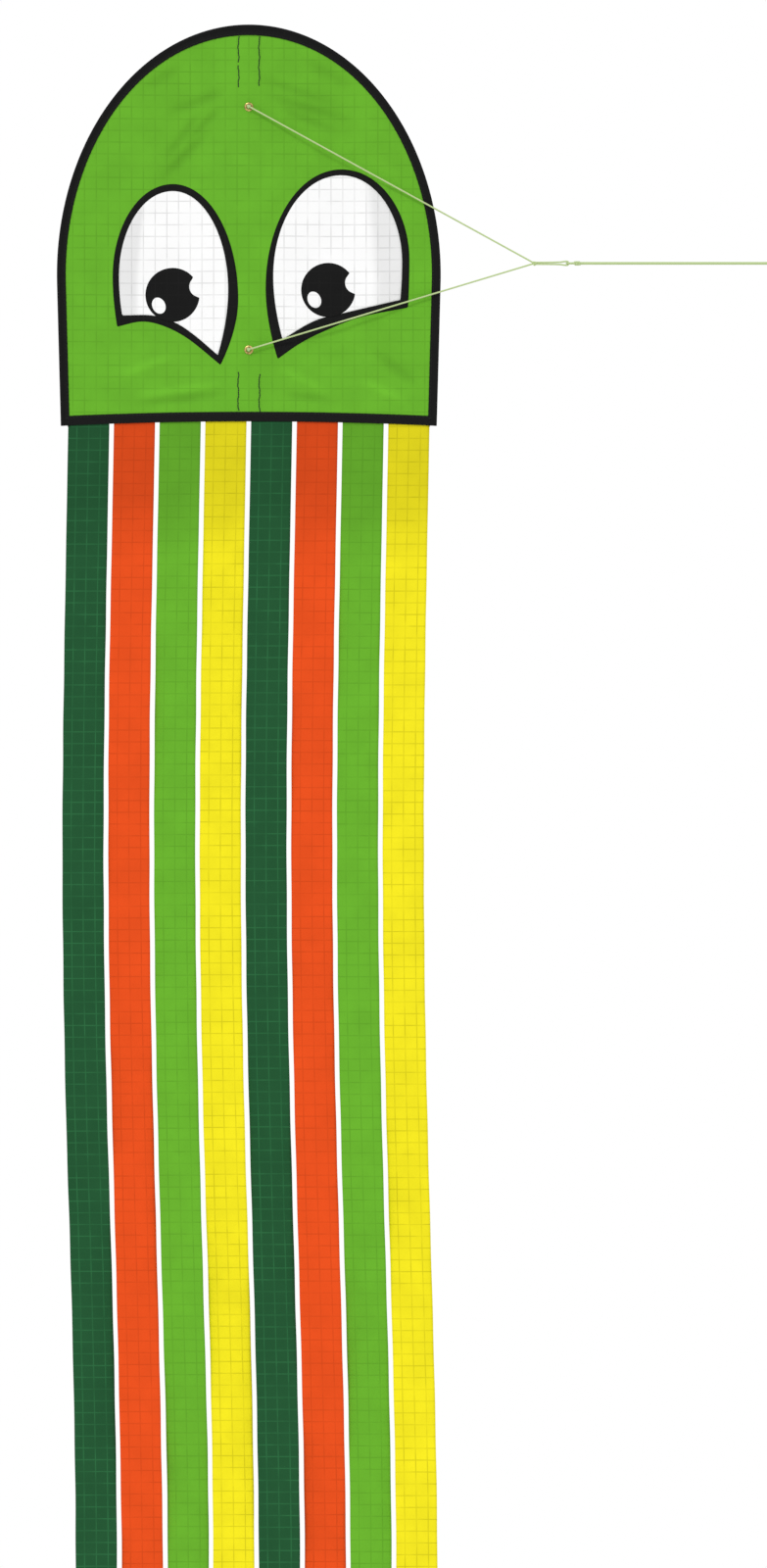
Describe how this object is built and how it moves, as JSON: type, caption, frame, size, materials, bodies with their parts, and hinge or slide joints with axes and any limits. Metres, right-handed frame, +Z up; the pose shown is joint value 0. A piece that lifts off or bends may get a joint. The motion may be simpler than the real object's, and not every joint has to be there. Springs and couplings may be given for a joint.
{
  "type": "dragon kite",
  "caption": "Single-line kite with an arched cloth head printed with two cartoon eyes, a bowed edge rod, a spine, a two-leg bridle and long ribbon tails that swing at the hem.",
  "frame": {"origin": "the nose, the highest point of the head on its centre line, in the middle plane of the sail", "axes": "+Z up along the spine from the hem to the nose, +Y from the printed front to the back, +X to the right seen from the front, the way the flying line is pulled at rest"},
  "size_m": [0.6834, 0.012, 2.0003],
  "materials": {
    "sail_green": "satin",
    "binding_black": "satin",
    "print_white": "satin",
    "print_black": "satin",
    "pocket_green": "satin",
    "tail_dark_green": "satin",
    "tail_orange": "satin",
    "tail_light_green": "satin",
    "tail_yellow": "satin",
    "rod_fibreglass": "gloss",
    "cap_vinyl": "satin",
    "eyelet_brass": "satin",
    "bridle_cord": "matte",
    "flying_cord": "matte"
  },
  "bodies": {
    "head": {"sail_panel": "sail_green", "edge_sleeve": "binding_black", "hem_binding": "binding_black", "arch_rod": "rod_fibreglass", "arch_cap_left": "cap_vinyl", "arch_cap_right": "cap_vinyl", "spine_rod": "rod_fibreglass", "spine_cap_top": "cap_vinyl", "spine_cap_bottom": "cap_vinyl", "top_pocket": "pocket_green", "bottom_pocket": "pocket_green", "eyelet_upper": "eyelet_brass", "eyelet_lower": "eyelet_brass", "washer_upper": "eyelet_brass", "washer_lower": "eyelet_brass", "hitch_upper": "bridle_cord", "hitch_lower": "bridle_cord"},
    "bridle": {"bridle_leg_upper": "bridle_cord", "bridle_leg_lower": "bridle_cord", "bridle_eye": "bridle_cord", "upper_knot": "bridle_cord", "lower_knot": "bridle_cord", "tow_knot": "bridle_cord"},
    "line": {"line_link": "flying_cord", "line_knot": "flying_cord", "flying_line": "flying_cord", "end_knot": "flying_cord", "end_loop": "flying_cord"},
    "tail_1": {"tail_1": "tail_dark_green"},
    "tail_2": {"tail_2": "tail_orange"},
    "tail_3": {"tail_3": "tail_light_green"},
    "tail_4": {"tail_4": "tail_yellow"},
    "tail_5": {"tail_5": "tail_dark_green"},
    "tail_6": {"tail_6": "tail_orange"},
    "tail_7": {"tail_7": "tail_light_green"},
    "tail_8": {"tail_8": "tail_yellow"}
  },
  "joints": [
    {"name": "bridle_swing", "type": "hinge", "parent": "head", "child": "bridle", "pos_m": [0, -0.0035, -0.21799], "axis": [0, 0, -1], "range_deg": [0, 180]},
    {"name": "line_swing", "type": "hinge", "parent": "bridle", "child": "line", "pos_m": [0.2913, -0.0035, -0.21799], "axis": [0, 0, 1], "range_deg": [-90, 90]},
    {"name": "tail_1_swing", "type": "hinge", "parent": "head", "child": "tail_1", "pos_m": [-0.14595, 0.0009, -0.36629], "axis": [1, 0, 0], "range_deg": [-60, 85]},
    {"name": "tail_2_swing", "type": "hinge", "parent": "head", "child": "tail_2", "pos_m": [-0.10425, 0.0009, -0.36466], "axis": [1, 0, 0], "range_deg": [-60, 85]},
    {"name": "tail_3_swing", "type": "hinge", "parent": "head", "child": "tail_3", "pos_m": [-0.06255, 0.0009, -0.3635], "axis": [1, 0, 0], "range_deg": [-60, 85]},
    {"name": "tail_4_swing", "type": "hinge", "parent": "head", "child": "tail_4", "pos_m": [-0.02085, 0.0009, -0.36281], "axis": [1, 0, 0], "range_deg": [-60, 85]},
    {"name": "tail_5_swing", "type": "hinge", "parent": "head", "child": "tail_5", "pos_m": [0.02085, 0.0009, -0.36281], "axis": [1, 0, 0], "range_deg": [-60, 85]},
    {"name": "tail_6_swing", "type": "hinge", "parent": "head", "child": "tail_6", "pos_m": [0.06255, 0.0009, -0.3635], "axis": [1, 0, 0], "range_deg": [-60, 85]},
    {"name": "tail_7_swing", "type": "hinge", "parent": "head", "child": "tail_7", "pos_m": [0.10425, 0.0009, -0.36466], "axis": [1, 0, 0], "range_deg": [-60, 85]},
    {"name": "tail_8_swing", "type": "hinge", "parent": "head", "child": "tail_8", "pos_m": [0.14595, 0.0009, -0.36629], "axis": [1, 0, 0], "range_deg": [-60, 85]}
  ]
}
